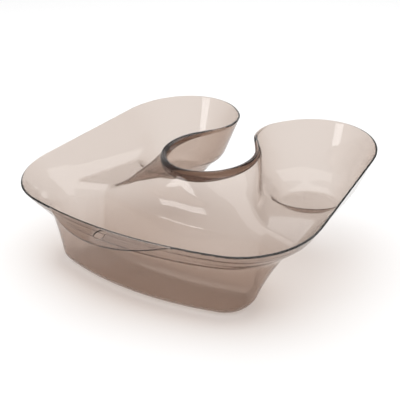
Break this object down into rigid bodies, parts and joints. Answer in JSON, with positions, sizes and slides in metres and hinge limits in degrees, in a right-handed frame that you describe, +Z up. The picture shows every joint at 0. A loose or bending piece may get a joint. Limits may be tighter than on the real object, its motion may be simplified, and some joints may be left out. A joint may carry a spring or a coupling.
{
  "type": "shoulder tray",
  "caption": "C-shaped moulded tray of smoke-tinted plastic, with a deep front basin, round side cups, a neck notch with a folded collar and a hang tab.",
  "frame": {"origin": "middle of the flat foot under the front basin, on the surface it stands on", "axes": "+Z up; +Y from the basin towards the neck notch's opening; +X to the right seen from the basin's side"},
  "size_m": [0.392, 0.3489, 0.143],
  "materials": {
    "smoke_plastic": "gloss, smoke-brown, clear"
  },
  "bodies": {
    "root": {"front_basin": "smoke_plastic", "front_brim": "smoke_plastic", "left_cup": "smoke_plastic", "right_cup": "smoke_plastic", "neck_collar": "smoke_plastic", "hang_tab": "smoke_plastic"}
  },
  "joints": []
}
